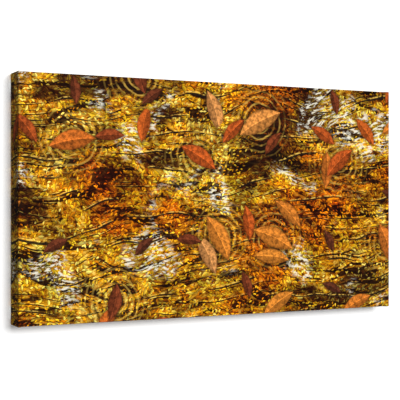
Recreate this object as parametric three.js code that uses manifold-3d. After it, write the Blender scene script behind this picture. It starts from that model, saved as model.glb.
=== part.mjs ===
// A gallery-wrapped canvas print: printed cloth stretched over four mitred pine bars,
// folded at the corners and stapled behind, with a sawtooth hanger and two bumpers.
// Millimetres, +Z up. The picture faces -Y and the wall it hangs on is the plane y = 0.
// The origin is on the wall, in the middle notch of the hanger, where the nail bears.

import * as THREE from 'three';
import { RoundedBoxGeometry } from 'three/addons/geometries/RoundedBoxGeometry.js';
import { mergeVertices } from 'three/addons/utils/BufferGeometryUtils.js';
import Module from 'manifold-3d';

const wasm = await Module();
wasm.setup();

// Driving dimensions
const picture = { width: 610, height: 343, depth: 38 };
const wallGap = 3;
const clearance = 0.3;
const cloth = {
  thickness: 0.5,
  flange: 22,          // how far it comes round the back
  foldRise: 0.8,       // the further layers where it is folded at a corner
};
const bar = {
  width: 36,
  lip: 5,              // the raised bead that carries the cloth
  lipRise: 2.5,
  slopeDrop: 2.5,      // the face falls away from the cloth towards the middle
  easedRadius: 1,
  mitreGap: 0.3,
};
const staple = {
  crown: 11,
  wire: 1.2,
  thickness: 0.8,
  leg: 9,
  inset: 14,           // from the outer face of the picture
  play: 0.3,
  firstLong: 22,       // from the corner to the first one, on a long side
  firstShort: 46,
};
const jointStapleInset = 29.5;
const hanger = {
  length: 52,
  above: 7,            // from the middle notch to the top edge
  below: 2.5,          // from the same notch to the tips of the teeth
  thickness: 1,
  stand: 1.7,          // how far the middle is pressed out from the wood
  raised: 30,
  ramp: 4,
  notches: 9,
  pitch: 3,
  tip: 0.8,
  round: 2,
  inset: 31,           // from the top of the picture to the notch
};
const nail = { spacing: 44, up: 2.2, shank: 1.6, point: 2, head: 4, headHeight: 0.7, length: 11 };
const bumper = { diameter: 12, taper: 0.5, round: 0.9, fromEnd: 62, inset: 29.4 };
const roundSteps = 24;

// The bars lie inside the cloth, just clear of it
const skin = cloth.thickness + clearance;
const barDepth = picture.depth - 2 * skin;
const edgeRadius = bar.easedRadius + skin;
const centreZ = hanger.inset - picture.height / 2;

const finishes = {
  cloth: { color: 0xa06f22, roughness: 0.85, metalness: 0 },
  pine: { color: 0xd9b98a, roughness: 0.7, metalness: 0 },
  zinc: { color: 0xb4b6b8, roughness: 0.38, metalness: 1 },
  brass: { color: 0xb8a272, roughness: 0.35, metalness: 1 },
  rubber: { color: 0x2b2b2d, roughness: 0.8, metalness: 0 },
};

// Each side has a frame of its own: x runs along it, y inward from the outer face of the
// cloth, and z forward from the back of the cloth.
const sides = [
  { name: 'top', inward: [0, 0, -1], length: picture.width, across: picture.height, staples: 11 },
  { name: 'right', inward: [-1, 0, 0], length: picture.height, across: picture.width, staples: 6 },
  { name: 'bottom', inward: [0, 0, 1], length: picture.width, across: picture.height, staples: 11 },
  { name: 'left', inward: [1, 0, 0], length: picture.height, across: picture.width, staples: 6 },
];
const longSides = sides.filter((side) => side.length === picture.width);
const [topSide, , bottomSide] = sides;
const ends = [-1, 1];

function sideFrame(side) {
  const forward = new THREE.Vector3(0, -1, 0);
  const inward = new THREE.Vector3(...side.inward);
  const along = new THREE.Vector3().crossVectors(inward, forward);
  const middle = new THREE.Vector3(0, -wallGap, centreZ).addScaledVector(inward, -side.across / 2);
  return new THREE.Matrix4().makeBasis(along, inward, forward).setPosition(middle);
}

// Turns for a shape that is drawn in one plane of a side and extruded across it
const [xAxis, yAxis, zAxis] = [[1, 0, 0], [0, 1, 0], [0, 0, 1]].map((axis) => new THREE.Vector3(...axis));
const drawnAcross = new THREE.Matrix4().makeBasis(yAxis, zAxis, xAxis);
const drawnAlong = new THREE.Matrix4().makeBasis(xAxis, zAxis, yAxis.clone().negate());

function at(x, y, z) {
  return new THREE.Matrix4().makeTranslation(x, y, z);
}

// Solids for cutting and joining

function solidOf(geometry, placing = new THREE.Matrix4()) {
  const bare = geometry.clone().applyMatrix4(placing);
  bare.deleteAttribute('normal');
  bare.deleteAttribute('uv');
  const merged = mergeVertices(bare);
  return new wasm.Manifold(new wasm.Mesh({
    numProp: 3,
    vertProperties: Float32Array.from(merged.attributes.position.array),
    triVerts: Uint32Array.from(merged.index.array),
  }));
}

function geometryOf(solid) {
  const mesh = solid.getMesh();
  const geometry = new THREE.BufferGeometry();
  geometry.setAttribute('position', new THREE.BufferAttribute(mesh.vertProperties, 3));
  geometry.setIndex(new THREE.BufferAttribute(mesh.triVerts, 1));
  return geometry;
}

function extrude(outline, length) {
  const shape = Array.isArray(outline)
    ? new THREE.Shape(outline.map(([x, y]) => new THREE.Vector2(x, y)))
    : outline;
  return new THREE.ExtrudeGeometry(shape, { depth: length, bevelEnabled: false, curveSegments: 4 });
}

function box(low, high) {
  const size = high.map((value, index) => value - low[index]);
  const middle = high.map((value, index) => (value + low[index]) / 2);
  return new THREE.BoxGeometry(...size).translate(...middle);
}

function turned(profile) {
  const points = profile.map(([radius, height]) => new THREE.Vector2(radius, height));
  return new THREE.LatheGeometry(points, roundSteps).rotateX(Math.PI / 2);
}

// Staples in the frame of their side

function stapleRow(side) {
  const long = longSides.includes(side);
  const reach = side.length / 2 - (long ? staple.firstLong : staple.firstShort);
  return Array.from({ length: side.staples }, (_, index) => {
    const last = index === 0 || index === side.staples - 1;
    return {
      along: -reach + (2 * reach * index) / (side.staples - 1),
      // the first and last of a long side hold the folded corners down
      back: (long && last ? -cloth.foldRise : 0) - clearance - staple.thickness,
    };
  });
}

function legSlot(along, inward, back, turn = 0) {
  const width = staple.wire + 2 * staple.play;
  const depth = staple.leg + staple.play - staple.thickness;
  const slot = new THREE.BoxGeometry(width, width, depth);
  slot.translate(0, 0, back + staple.thickness + depth / 2);
  return solidOf(slot.rotateZ(turn), at(along, inward, 0));
}

function legSlots(side) {
  const reach = (staple.crown - staple.wire) / 2;
  return stapleRow(side).flatMap(({ along, back }) => (
    ends.map((end) => legSlot(along + end * reach, staple.inset, back))
  ));
}

function stapleGeometry() {
  const half = staple.crown / 2;
  const inner = half - staple.wire;
  const bend = staple.wire;
  const point = staple.leg - staple.wire;
  const outline = new THREE.Shape();
  outline.moveTo(-half, staple.leg);
  outline.lineTo(-half, bend);
  outline.quadraticCurveTo(-half, 0, bend - half, 0);
  outline.lineTo(half - bend, 0);
  outline.quadraticCurveTo(half, 0, half, bend);
  outline.lineTo(half, staple.leg);
  outline.lineTo(inner, point);
  outline.lineTo(inner, staple.thickness);
  outline.lineTo(-inner, staple.thickness);
  outline.lineTo(-inner, point);
  return extrude(outline, staple.wire).applyMatrix4(drawnAlong).translate(0, staple.wire / 2, 0);
}

// Cloth

function wrapBlock(inset, rise, radius) {
  const block = new RoundedBoxGeometry(
    picture.width - 2 * inset,
    picture.depth - 2 * inset + rise,
    picture.height - 2 * inset + 2 * rise,
    3,
    radius,
  );
  return solidOf(block, at(0, (rise - picture.depth) / 2 - wallGap, centreZ));
}

// The folded layers at one corner: three-cornered on the side of the picture, and a strip
// as wide as the picture is deep where they come over onto the back.
function foldedLayers(side, end) {
  const tip = (end * side.length) / 2;
  const inside = tip - end * picture.depth;
  const behind = -cloth.foldRise;
  const sunk = cloth.thickness / 2;
  const wedge = extrude(
    [[tip, picture.depth], [tip, behind], [inside, behind], [inside, 0]],
    cloth.foldRise + sunk,
  ).applyMatrix4(drawnAlong).translate(0, sunk, 0);
  const strip = box(
    [Math.min(tip, inside), behind, behind],
    [Math.max(tip, inside), cloth.flange, sunk],
  );
  return solidOf(wedge).add(solidOf(strip)).transform(sideFrame(side).elements);
}

function clothSolid() {
  const hollow = wrapBlock(cloth.thickness, 0, bar.easedRadius + clearance);
  const opening = solidOf(new THREE.BoxGeometry(
    picture.width - 2 * cloth.flange,
    picture.depth,
    picture.height - 2 * cloth.flange,
  ), at(0, -wallGap, centreZ));
  const foldBounds = wrapBlock(0, cloth.foldRise, edgeRadius);
  let solid = wrapBlock(0, 0, edgeRadius);
  for (const side of longSides) {
    for (const end of ends) {
      solid = solid.add(foldedLayers(side, end).intersect(foldBounds));
    }
  }
  solid = solid.subtract(hollow).subtract(opening);
  for (const side of sides) {
    for (const slot of legSlots(side)) {
      solid = solid.subtract(slot.transform(sideFrame(side).elements));
    }
  }
  return solid;
}

// Stretcher bars

function barSection() {
  const shelf = barDepth - bar.lipRise;
  const eased = bar.easedRadius;
  const section = new THREE.Shape();
  section.moveTo(0, 0);
  section.lineTo(bar.width - eased, 0);
  section.quadraticCurveTo(bar.width, 0, bar.width, eased);
  section.lineTo(bar.width, shelf - bar.slopeDrop);
  section.lineTo(bar.lip + bar.lipRise, shelf);
  section.quadraticCurveTo(bar.lip, shelf, bar.lip, barDepth - eased);
  section.quadraticCurveTo(bar.lip, barDepth, bar.lip - eased, barDepth);
  section.lineTo(0, barDepth);
  return section;
}

function barSolid(side) {
  const length = side.length - 2 * skin;
  const seat = at(0, skin, skin);
  const rail = extrude(barSection(), length).applyMatrix4(drawnAcross).translate(-length / 2, 0, 0);
  const half = length / 2 - bar.mitreGap / Math.SQRT2;
  const mitred = extrude([
    [-half, 0],
    [half, 0],
    [half - bar.width, bar.width],
    [bar.width - half, bar.width],
  ], barDepth);
  const across = side.across - 2 * skin;
  const eased = new RoundedBoxGeometry(length, across, barDepth, 3, bar.easedRadius)
    .translate(0, across / 2, barDepth / 2);
  const holes = [
    ...legSlots(side),
    ...ends.map((end) => jointLegSlot(side, end)),
    ...(side === topSide ? nailPlaces().map(pilotHole) : []),
  ];
  const uncut = solidOf(rail, seat)
    .intersect(solidOf(mitred, seat))
    .intersect(solidOf(eased, seat));
  return holes.reduce((wood, hole) => wood.subtract(hole), uncut);
}

// A staple bridges each mitre, with one leg in either bar

function jointPlace(side, end) {
  return {
    along: end * (side.length / 2 - jointStapleInset),
    back: skin - clearance - staple.thickness,
    turn: (end * Math.PI) / 4,
  };
}

function jointLegSlot(side, end) {
  const { along, back, turn } = jointPlace(side, end);
  const reach = (staple.crown - staple.wire) / 2 / Math.SQRT2;
  return legSlot(along - end * reach, jointStapleInset - reach, back, turn);
}

// Hanger and its nails

const hangerBack = skin - clearance - hanger.thickness;

function nailPlaces() {
  return ends.map((end) => [(end * nail.spacing) / 2, hanger.inset - nail.up]);
}

function pilotHole([along, inward]) {
  const radius = nail.shank / 2 + clearance;
  const hole = new THREE.CylinderGeometry(radius, radius, nail.length + skin, roundSteps);
  return solidOf(hole.rotateX(Math.PI / 2), at(along, inward, (nail.length + skin) / 2 - skin));
}

function hangerFace() {
  const half = hanger.length / 2;
  const { above, below, round } = hanger;
  const mouth = (hanger.pitch - hanger.tip) / 2;
  const face = new THREE.Shape();
  face.moveTo(round - half, -above);
  face.lineTo(half - round, -above);
  face.quadraticCurveTo(half, -above, half, round - above);
  face.lineTo(half, below - round);
  face.quadraticCurveTo(half, below, half - round, below);
  for (let notch = 0; notch < hanger.notches; notch += 1) {
    const middle = ((hanger.notches - 1) / 2 - notch) * hanger.pitch;
    face.lineTo(middle + mouth, below);
    face.lineTo(middle, 0);
    face.lineTo(middle - mouth, below);
  }
  face.lineTo(round - half, below);
  face.quadraticCurveTo(-half, below, -half, below - round);
  face.lineTo(-half, round - above);
  face.quadraticCurveTo(-half, -above, round - half, -above);
  return face;
}

function hangerSolid() {
  const half = hanger.length / 2;
  const flat = hanger.raised / 2;
  const foot = flat + hanger.ramp;
  const { stand, thickness, above, below } = hanger;
  const outer = [[half, 0], [foot, 0], [flat, -stand], [-flat, -stand], [-foot, 0], [-half, 0]];
  const inner = outer.map(([along, forward]) => [along, forward + thickness]).reverse();
  const pressed = extrude([...outer, ...inner], above + below)
    .applyMatrix4(drawnAlong)
    .translate(0, below, 0);
  const face = extrude(hangerFace(), stand + thickness).translate(0, 0, -stand);
  const seat = at(0, hanger.inset, hangerBack);
  const strip = solidOf(pressed, seat).intersect(solidOf(face, seat));
  return nailPlaces().map(pilotHole).reduce((metal, hole) => metal.subtract(hole), strip);
}

function nailGeometry() {
  const headRadius = nail.head / 2;
  const shankRadius = nail.shank / 2;
  return turned([
    [0, -nail.headHeight],
    [headRadius * 0.7, -nail.headHeight],
    [headRadius, -nail.headHeight / 2],
    [headRadius, 0],
    [shankRadius, 0],
    [shankRadius, nail.length - nail.point],
    [0, nail.length],
  ]);
}

// Bumpers

function bumperGeometry() {
  const height = wallGap + skin - clearance;
  const base = bumper.diameter / 2;
  const face = base - bumper.taper;
  return turned([
    [0, 0],
    [face - bumper.round, 0],
    [face - bumper.round * 0.3, bumper.round * 0.3],
    [face, bumper.round],
    [base, height],
    [0, height],
  ]);
}

// Assembly

function addMesh(parent, name, geometry, finish) {
  const mesh = new THREE.Mesh(geometry, new THREE.MeshStandardMaterial(finishes[finish]));
  mesh.name = name;
  parent.add(mesh);
  return mesh;
}

// A side runs from right to left along the top and from left to right along the bottom
function endName(side, end) {
  const left = (side === topSide) === (end > 0);
  return left ? 'left' : 'right';
}

function addSide(side) {
  const group = new THREE.Group();
  group.applyMatrix4(sideFrame(side));
  addMesh(group, `bar_${side.name}`, geometryOf(barSolid(side)), 'pine');
  stapleRow(side).forEach(({ along, back }, index) => {
    const mesh = addMesh(group, `staple_${side.name}_${index + 1}`, stapleGeometry(), 'zinc');
    mesh.position.set(along, staple.inset, back);
  });
  if (longSides.includes(side)) {
    for (const end of ends) {
      const { along, back, turn } = jointPlace(side, end);
      const name = `joint_staple_${side.name}_${endName(side, end)}`;
      const mesh = addMesh(group, name, stapleGeometry(), 'zinc');
      mesh.position.set(along, jointStapleInset, back);
      mesh.rotation.z = turn;
    }
  }
  return group;
}

function addHanger(group) {
  addMesh(group, 'hanger', geometryOf(hangerSolid()), 'brass');
  nailPlaces().forEach(([along, inward], index) => {
    const mesh = addMesh(group, `hanger_nail_${endName(topSide, ends[index])}`, nailGeometry(), 'brass');
    mesh.position.set(along, inward, hangerBack - clearance);
  });
}

function addBumpers(group) {
  for (const end of ends) {
    const mesh = addMesh(group, `bumper_${endName(bottomSide, end)}`, bumperGeometry(), 'rubber');
    mesh.position.set(end * (picture.width / 2 - bumper.fromEnd), bumper.inset, -wallGap);
  }
}

const print = new THREE.Group();
addMesh(print, 'canvas', geometryOf(clothSolid()), 'cloth');
for (const side of sides) {
  const group = addSide(side);
  if (side === topSide) {
    addHanger(group);
  }
  if (side === bottomSide) {
    addBumpers(group);
  }
  print.add(group);
}

export default print;
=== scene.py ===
# Looks for a gallery-wrapped canvas print: printed cloth folded over pine bars, stapled behind.
# Metres, +Z up, the picture faces -Y and the wall is the plane y = 0.
import math
from functools import partial

import bmesh
import bpy
import numpy as np
from mathutils import Matrix, Vector


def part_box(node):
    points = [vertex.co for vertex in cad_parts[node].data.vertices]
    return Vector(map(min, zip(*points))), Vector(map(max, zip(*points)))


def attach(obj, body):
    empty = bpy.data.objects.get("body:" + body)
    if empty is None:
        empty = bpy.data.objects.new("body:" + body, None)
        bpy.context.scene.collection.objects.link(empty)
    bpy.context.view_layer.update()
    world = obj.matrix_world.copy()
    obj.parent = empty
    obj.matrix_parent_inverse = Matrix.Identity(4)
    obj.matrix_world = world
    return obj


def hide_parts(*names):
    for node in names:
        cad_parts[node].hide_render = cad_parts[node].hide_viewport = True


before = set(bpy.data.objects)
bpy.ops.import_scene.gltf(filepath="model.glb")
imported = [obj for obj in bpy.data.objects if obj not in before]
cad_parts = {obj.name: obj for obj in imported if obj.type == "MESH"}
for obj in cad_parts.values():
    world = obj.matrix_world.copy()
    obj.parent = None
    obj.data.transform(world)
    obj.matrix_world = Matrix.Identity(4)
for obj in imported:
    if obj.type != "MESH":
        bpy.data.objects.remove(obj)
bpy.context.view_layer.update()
print("frame loaded:", len(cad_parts), "nodes")

# Sizes shared by the pieces. The box of the cloth gives all but the first two.
canvasLow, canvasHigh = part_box("canvas")
picture = {
    "depth": 0.038,
    "foldRise": 0.0008,  # how far the corner folds stand out above and below
    "width": canvasHigh.x - canvasLow.x,
    "front": canvasLow.y,
    "middle": (canvasLow.z + canvasHigh.z) / 2,
}
picture["height"] = canvasHigh.z - canvasLow.z - 2 * picture["foldRise"]
picture["back"] = picture["front"] + picture["depth"]

# The four sides, and how many staples each has, the first one so far from its end
longSide = {"length": picture["width"], "across": picture["height"], "staples": 11, "fromEnd": 0.022}
shortSide = {"length": picture["height"], "across": picture["width"], "staples": 6, "fromEnd": 0.046}
sides = {
    "top": {"inward": (0, 0, -1), **longSide},
    "right": {"inward": (-1, 0, 0), **shortSide},
    "bottom": {"inward": (0, 0, 1), **longSide},
    "left": {"inward": (1, 0, 0), **shortSide},
}


def sideFrame(side):
    # x runs along the side, y inward from the outer face of the cloth, z forward from its back
    forward = Vector((0, -1, 0))
    inward = Vector(side["inward"])
    along = inward.cross(forward)
    middle = Vector((0, picture["back"], picture["middle"])) - inward * side["across"] / 2
    return Matrix.Translation(middle) @ Matrix((along, inward, forward)).transposed().to_4x4()


def stapleRow(side):
    # how far the outermost staple is from the middle of the side, and the gap between two
    outermost = side["length"] / 2 - side["fromEnd"]
    return outermost, 2 * outermost / (side["staples"] - 1)


def addObject(name, data):
    added = bpy.data.objects.new(name, data)
    bpy.context.scene.collection.objects.link(added)
    return added


# Camera, from the outline of the picture in the photograph

camera = {
    "lens": 91.6,
    "sensor": 36.0,
    "nearest": 0.01,
    "place": (-0.6934, picture["front"] - 1.3274, picture["middle"] - 0.0013),
    "turn": 26.417,  # degrees from straight ahead, towards the right
}


def makeCamera():
    data = bpy.data.cameras.new("camera")
    data.lens = camera["lens"]
    data.sensor_width = camera["sensor"]
    data.clip_start = camera["nearest"]
    eye = addObject("camera", data)
    eye.location = camera["place"]
    eye.rotation_euler = (math.pi / 2, 0, -math.radians(camera["turn"]))
    bpy.context.scene.camera = eye


makeCamera()
print("camera placed")


# Helpers for meshes

def meshFrom(name, points, faces, edges=()):
    mesh = bpy.data.meshes.new(name)
    mesh.from_pydata([tuple(point) for point in points], edges, faces)
    mesh.update()
    return mesh


def reworked(mesh, change):
    # the mesh after a change that is made to its bmesh
    edit = bmesh.new()
    edit.from_mesh(mesh)
    change(edit)
    edit.to_mesh(mesh)
    edit.free()
    return mesh


def facesOut(edit):
    bmesh.ops.recalc_face_normals(edit, faces=edit.faces)


def smooth(mesh, sharpAbove=35):
    mesh.shade_smooth()
    mesh.set_sharp_from_angle(angle=math.radians(sharpAbove))


def putVectors(mesh, name, values):
    layer = mesh.attributes.new(name, "FLOAT_VECTOR", "POINT")
    layer.data.foreach_set("vector", np.array([tuple(value) for value in values], np.float32).ravel())


def putLayout(mesh, name, layout):
    mesh.uv_layers.new(name=name).data.foreach_set("uv", layout.astype(np.float32).ravel())


def readAll(items, key, kind=np.int32, width=1):
    values = np.zeros(width * len(items), kind)
    items.foreach_get(key, values)
    return values


def applied(piece):
    # the modifiers' result as a plain mesh
    depsgraph = bpy.context.evaluated_depsgraph_get()
    depsgraph.update()
    result = bpy.data.meshes.new_from_object(piece.evaluated_get(depsgraph))
    piece.modifiers.clear()
    piece.data = result
    return piece


# Helpers for node trees, where each node's first output stands for the node

def isSocket(value):
    return isinstance(value, bpy.types.NodeSocket)


def fill(item, inputs):
    for key, value in inputs.items():
        if isSocket(value):
            item.id_data.links.new(value, item.inputs[key])
        else:
            item.inputs[key].default_value = value


def put(kind, inputs, tree=None, output=0, **settings):
    # adds a node, to the tree that its inputs come from unless one is given
    if tree is None:
        tree = next(value.id_data for value in inputs.values() if isSocket(value))
    item = tree.nodes.new(kind)
    for key, value in settings.items():
        setattr(item, key, value)
    fill(item, inputs)
    return item.outputs[output] if item.outputs else None


def calc(operation, *values):
    return put("ShaderNodeMath", dict(enumerate(values)), operation=operation)


def vector(operation, *values, output=0):
    return put("ShaderNodeVectorMath", dict(enumerate(values)), output=output, operation=operation)


def scaled(value, factor):
    return put("ShaderNodeVectorMath", {0: value, "Scale": factor}, operation="SCALE")


plus = partial(calc, "ADD")
minus = partial(calc, "SUBTRACT")
times = partial(calc, "MULTIPLY")
timesPlus = partial(calc, "MULTIPLY_ADD")
absolute = partial(calc, "ABSOLUTE")
stretched = partial(vector, "MULTIPLY")
length = partial(vector, "LENGTH", output="Value")


def xyz(x=0.0, y=0.0, z=0.0):
    return put("ShaderNodeCombineXYZ", {0: x, 1: y, 2: z})


def parts(value):
    return put("ShaderNodeSeparateXYZ", {0: value}).node.outputs


def step(*values):
    # a smooth step of a value, from and to, with what it gives at either end
    return put("ShaderNodeMapRange", dict(enumerate(values)), interpolation_type="SMOOTHSTEP")


def spread(value, *levels):
    # a noise from its low patches to its high ones
    return step(value, 0.3, 0.7, *levels)


def blend(factor, first, second, mode="MIX"):
    colors = [color if isSocket(color) else (*color, 1) for color in (first, second)]
    inputs = {0: factor, 6: colors[0], 7: colors[1]}
    return put("ShaderNodeMix", inputs, output=2, data_type="RGBA", blend_type=mode)


def ramp(value, stops):
    # stops: each place on the ramp with its colour
    color = put("ShaderNodeValToRGB", {0: value})
    elements = color.node.color_ramp.elements
    for index, (place, shade) in enumerate(stops.items()):
        element = elements[index] if index < 2 else elements.new(place)
        element.position = place
        element.color = (*shade, 1)
    return color


def noise(place, scale, detail=2.0, roughness=0.5, distortion=0.0, space="3D"):
    inputs = {"Vector": place, "Scale": scale, "Detail": detail, "Roughness": roughness,
              "Distortion": distortion}
    return put("ShaderNodeTexNoise", inputs, noise_dimensions=space)


flatNoise = partial(noise, space="2D")


def stray(value):
    # the colours of a noise as a vector about zero
    return vector("SUBTRACT", value.node.outputs["Color"], (0.5, 0.5, 0.5))


def cellsOf(place, size):
    # random cells, and the way from the middle of the one that a point is in
    inputs = {"Vector": place, "Scale": 1 / size, "Randomness": 0.85}
    cells = put("ShaderNodeTexVoronoi", inputs, voronoi_dimensions="2D").node.outputs
    return cells, vector("SUBTRACT", place, cells["Position"])


def newMaterial(name):
    material = bpy.data.materials.new(name)
    material.use_nodes = True
    return material, material.node_tree


def finishMaterial(look, color, roughness, height, metal=0, gloss=0.5):
    strength, distance = look["bump"]
    relief = {"Strength": strength, "Distance": distance, "Height": height}
    fill(color.id_data.nodes["Principled BSDF"], {
        "Base Color": color,
        "Roughness": roughness,
        "Normal": put("ShaderNodeBump", relief),
        "Metallic": metal,
        "Specular IOR Level": gloss,
    })


def objectPlace(tree):
    return put("ShaderNodeTexCoord", {}, tree, "Object")


def clothPlace(tree):
    return put("ShaderNodeUVMap", {}, tree, uv_map="cloth")


# Metal and rubber. A colour stands by its place in a noise, a noise is so many patches to the
# metre, and a bump is its strength and height.

steel = {
    "colors": {0.3: (0.42, 0.43, 0.44), 0.7: (0.68, 0.69, 0.70)},
    "patches": 700,
    "roughness": (0.42, 0.24),
    "bump": (0.2, 0.00003),
}


def makeSteel():
    material, tree = newMaterial("stapleSteel")
    cloud = noise(objectPlace(tree), steel["patches"], 3)
    roughness = spread(cloud, *steel["roughness"])
    finishMaterial(steel, ramp(cloud, steel["colors"]), roughness, cloud, metal=1)
    return material


brass = {
    "colors": {0.25: (0.36, 0.24, 0.10), 0.5: (0.60, 0.43, 0.19), 0.8: (0.72, 0.55, 0.27)},
    "patches": 130,
    "rolled": (60, 400, 1800),  # marks of the rolls
    "roughness": (0.24, 0.36),
    "tarnish": 0.14,  # how much rougher it is where it has tarnished
    "bump": (0.15, 0.00003),
}


def makeBrass():
    material, tree = newMaterial("brassPlate")
    place = objectPlace(tree)
    rolled = noise(stretched(place, brass["rolled"]), 1.0, 4)
    cloud = noise(place, brass["patches"], 3)
    roughness = plus(spread(cloud, brass["tarnish"], 0.0), spread(rolled, *brass["roughness"]))
    finishMaterial(brass, ramp(cloud, brass["colors"]), roughness, rolled, metal=1)
    return material


rubber = {
    "colors": {0.35: (0.018, 0.018, 0.02), 0.75: (0.055, 0.053, 0.05)},
    "dust": 160,
    "grain": 1500,
    "roughness": (0.5, 0.72),
    "bump": (0.25, 0.00004),
}


def makeRubber():
    material, tree = newMaterial("bumperRubber")
    place = objectPlace(tree)
    dust = noise(place, rubber["dust"], 4, 0.6)
    grain = noise(place, rubber["grain"], 3)
    finishMaterial(rubber, ramp(dust, rubber["colors"]), spread(dust, *rubber["roughness"]), grain)
    return material


# Pine, in coordinates that run along each bar

pine = {
    "light": (0.76, 0.545, 0.30),
    "pale": (0.83, 0.65, 0.40),
    "late": (0.50, 0.265, 0.10),
    "lateShare": 0.62,
    "fibre": (14, 1500, 1500),
    "fibreShare": 0.8,
    "tints": {0.3: (0.80, 0.78, 0.74), 0.65: (1.05, 1.05, 1.05)},
    "patches": (5, 40, 40),
    "rings": 330,  # to the metre
    "ringDarkens": (0.25, 0.9),
    "ringEnds": (0.93, 1.0, 1, 0),
    "heart": (0.062, -0.03),  # where the middle of the log lies, in from the edge and in front
    "apart": (1.7, 0.11),  # from one bar to the next in the log, along it and across
    "sway": 0.02,
    "swaying": (3.0, 11, 11),
    "knot": {0.0: (0.16, 0.065, 0.022), 1.0: (0.30, 0.13, 0.045)},
    "knotRings": 900,
    "knotSpacing": 0.24,
    "knotStretch": 2.2,
    "knotLong": 0.8,
    "knotSize": 0.0065,
    "knotPatches": 260,
    "knotUneven": 0.003,
    "knotPush": 0.0085,  # how far a knot moves the rings about it, and how far off it does so
    "knotPushes": (0.4, 4.5),
    "knotShade": (0.9, 2.2, 0.55, 0),
    "knotEdge": (0.75, 1, 1, 0),
    "roughness": (0.72, 0.58),
    "bump": (0.35, 0.00012),
}


def knotDistance(place):
    # how far off the nearest knot is, a little uneven
    squeeze = pine["knotStretch"]
    offset = cellsOf(stretched(place, (1, squeeze, 0)), pine["knotSpacing"])[1]
    away = length(stretched(offset, (pine["knotLong"], 1 / squeeze, 1)))
    return timesPlus(minus(noise(place, pine["knotPatches"]), 0.5), pine["knotUneven"], away)


def nearKnot(away, low, high, *levels):
    # a step from one place to another about a knot, in sizes of the knot
    return step(away, pine["knotSize"] * low, pine["knotSize"] * high, *levels)


def lateWood(place, pushed):
    # the dark part of each ring
    sway = stray(noise(stretched(place, pine["swaying"]), 1.0))
    y, z = parts(vector("ADD", place, stretched(sway, (0, pine["sway"], pine["sway"]))))[1:]
    inFromEdge = minus(calc("PINGPONG", y, pine["apart"][1]), pine["heart"][0])
    radius = plus(length(xyz(inFromEdge, minus(z, pine["heart"][1]))), pushed)
    ring = calc("FRACT", times(radius, pine["rings"]))
    return times(step(ring, *pine["ringDarkens"]), step(ring, *pine["ringEnds"]))


def makePine():
    material, tree = newMaterial("pine")
    place = put("ShaderNodeAttribute", {}, tree, "Vector", attribute_name="grain")
    away = knotDistance(place)
    late = lateWood(place, nearKnot(away, *pine["knotPushes"], pine["knotPush"], 0))
    fibre = noise(stretched(place, pine["fibre"]), 1.0, 3, 0.6)
    patch = noise(stretched(place, pine["patches"]), 1.0)
    color = blend(spread(patch), pine["light"], pine["pale"])
    color = blend(times(late, pine["lateShare"]), color, pine["late"])
    color = blend(pine["fibreShare"], color, ramp(fibre, pine["tints"]), "MULTIPLY")
    color = blend(nearKnot(away, *pine["knotShade"]), color, pine["late"])
    inKnot = ramp(calc("FRACT", times(away, pine["knotRings"])), pine["knot"])
    color = blend(nearKnot(away, *pine["knotEdge"]), color, inKnot)
    finishMaterial(pine, color, spread(fibre, *pine["roughness"]), plus(times(late, 0.5), fibre))
    return material


# Cloth: the weave, its raw side and its loose yarns

weave = {
    "pitch": 0.00075,
    "bent": 2.2,  # how far the yarns wander, in yarns
    "bending": 130,
    "round": 0.6,
    "fall": 0.5,  # how fast a yarn falls off towards its sides; the lower, the fuller it is
    "lift": 0.4,  # how far each yarn rises over the one that it crosses
    "slubs": (60, 1150),  # along a yarn and across it
    "uneven": (1.6, -0.8),
    "heights": (0.0, 1.3),
}


def makeWeave(flat):
    # the height of a plain weave, with thick and thin lengths of yarn
    perMetre, bent = 1 / weave["pitch"], weave["bent"]
    wander = stray(flatNoise(flat, weave["bending"]))
    yarns = vector("ADD", stretched(flat, (perMetre, perMetre, 0)), stretched(wander, (bent, bent, 0)))
    x, y = parts(yarns)[:2]
    heights = []
    for across, along, phase in ((x, y, 0.0), (y, x, 1.0)):
        body = calc("POWER", absolute(calc("SINE", times(across, math.pi))), weave["fall"])
        turn = plus(along, plus(calc("FLOOR", across), phase))
        rise = calc("SINE", times(turn, math.pi))
        heights.append(timesPlus(rise, weave["lift"], times(body, weave["round"])))
    long, wide = weave["slubs"]
    slubs = [flatNoise(stretched(flat, (*way, 0)), 1.0) for way in ((long, wide), (wide, long))]
    return plus(calc("MAXIMUM", *heights), timesPlus(calc("MAXIMUM", *slubs), *weave["uneven"]))


def shadeWeave(color, height, hollowShade, share):
    # painted shade: the hollows between the yarns are darkened as if they lay in shade
    return blend(share, color, ramp(step(height, *weave["heights"]), hollowShade), "MULTIPLY")


rawCloth = {
    "colors": {0.3: (0.73, 0.70, 0.625), 0.7: (0.77, 0.745, 0.675)},
    # painted shade in the hollows of the weave: its ramp by the yarns' height, and how much of it shows
    "hollowShade": {0.0: (0.80, 0.78, 0.74), 1.0: (1, 1, 1)},
    "shading": 0.8,
    "patches": 22,
    "roughness": 0.9,
    "bump": (0.55, 0.00022),
}


def makeRawCloth():
    material, tree = newMaterial("rawCloth")
    flat = clothPlace(tree)
    height = makeWeave(flat)
    color = ramp(flatNoise(flat, rawCloth["patches"], 4), rawCloth["colors"])
    # painted shade darkens the hollows of the weave
    color = shadeWeave(color, height, rawCloth["hollowShade"], rawCloth["shading"])
    finishMaterial(rawCloth, color, rawCloth["roughness"], height)
    return material


cotton = {
    "colors": {0.3: (0.66, 0.63, 0.56), 0.7: (0.82, 0.80, 0.74)},
    "patches": 900,
    "roughness": 0.9,
    "bump": (0.3, 0.00003),
}


def makeCotton():
    material, tree = newMaterial("cotton")
    tint = noise(objectPlace(tree), cotton["patches"])
    finishMaterial(cotton, ramp(tint, cotton["colors"]), cotton["roughness"], tint)
    return material


# The printed design: fallen leaves, large and small, afloat on golden water with dark ripples
# and rings. Sizes are in centimetres.

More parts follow.
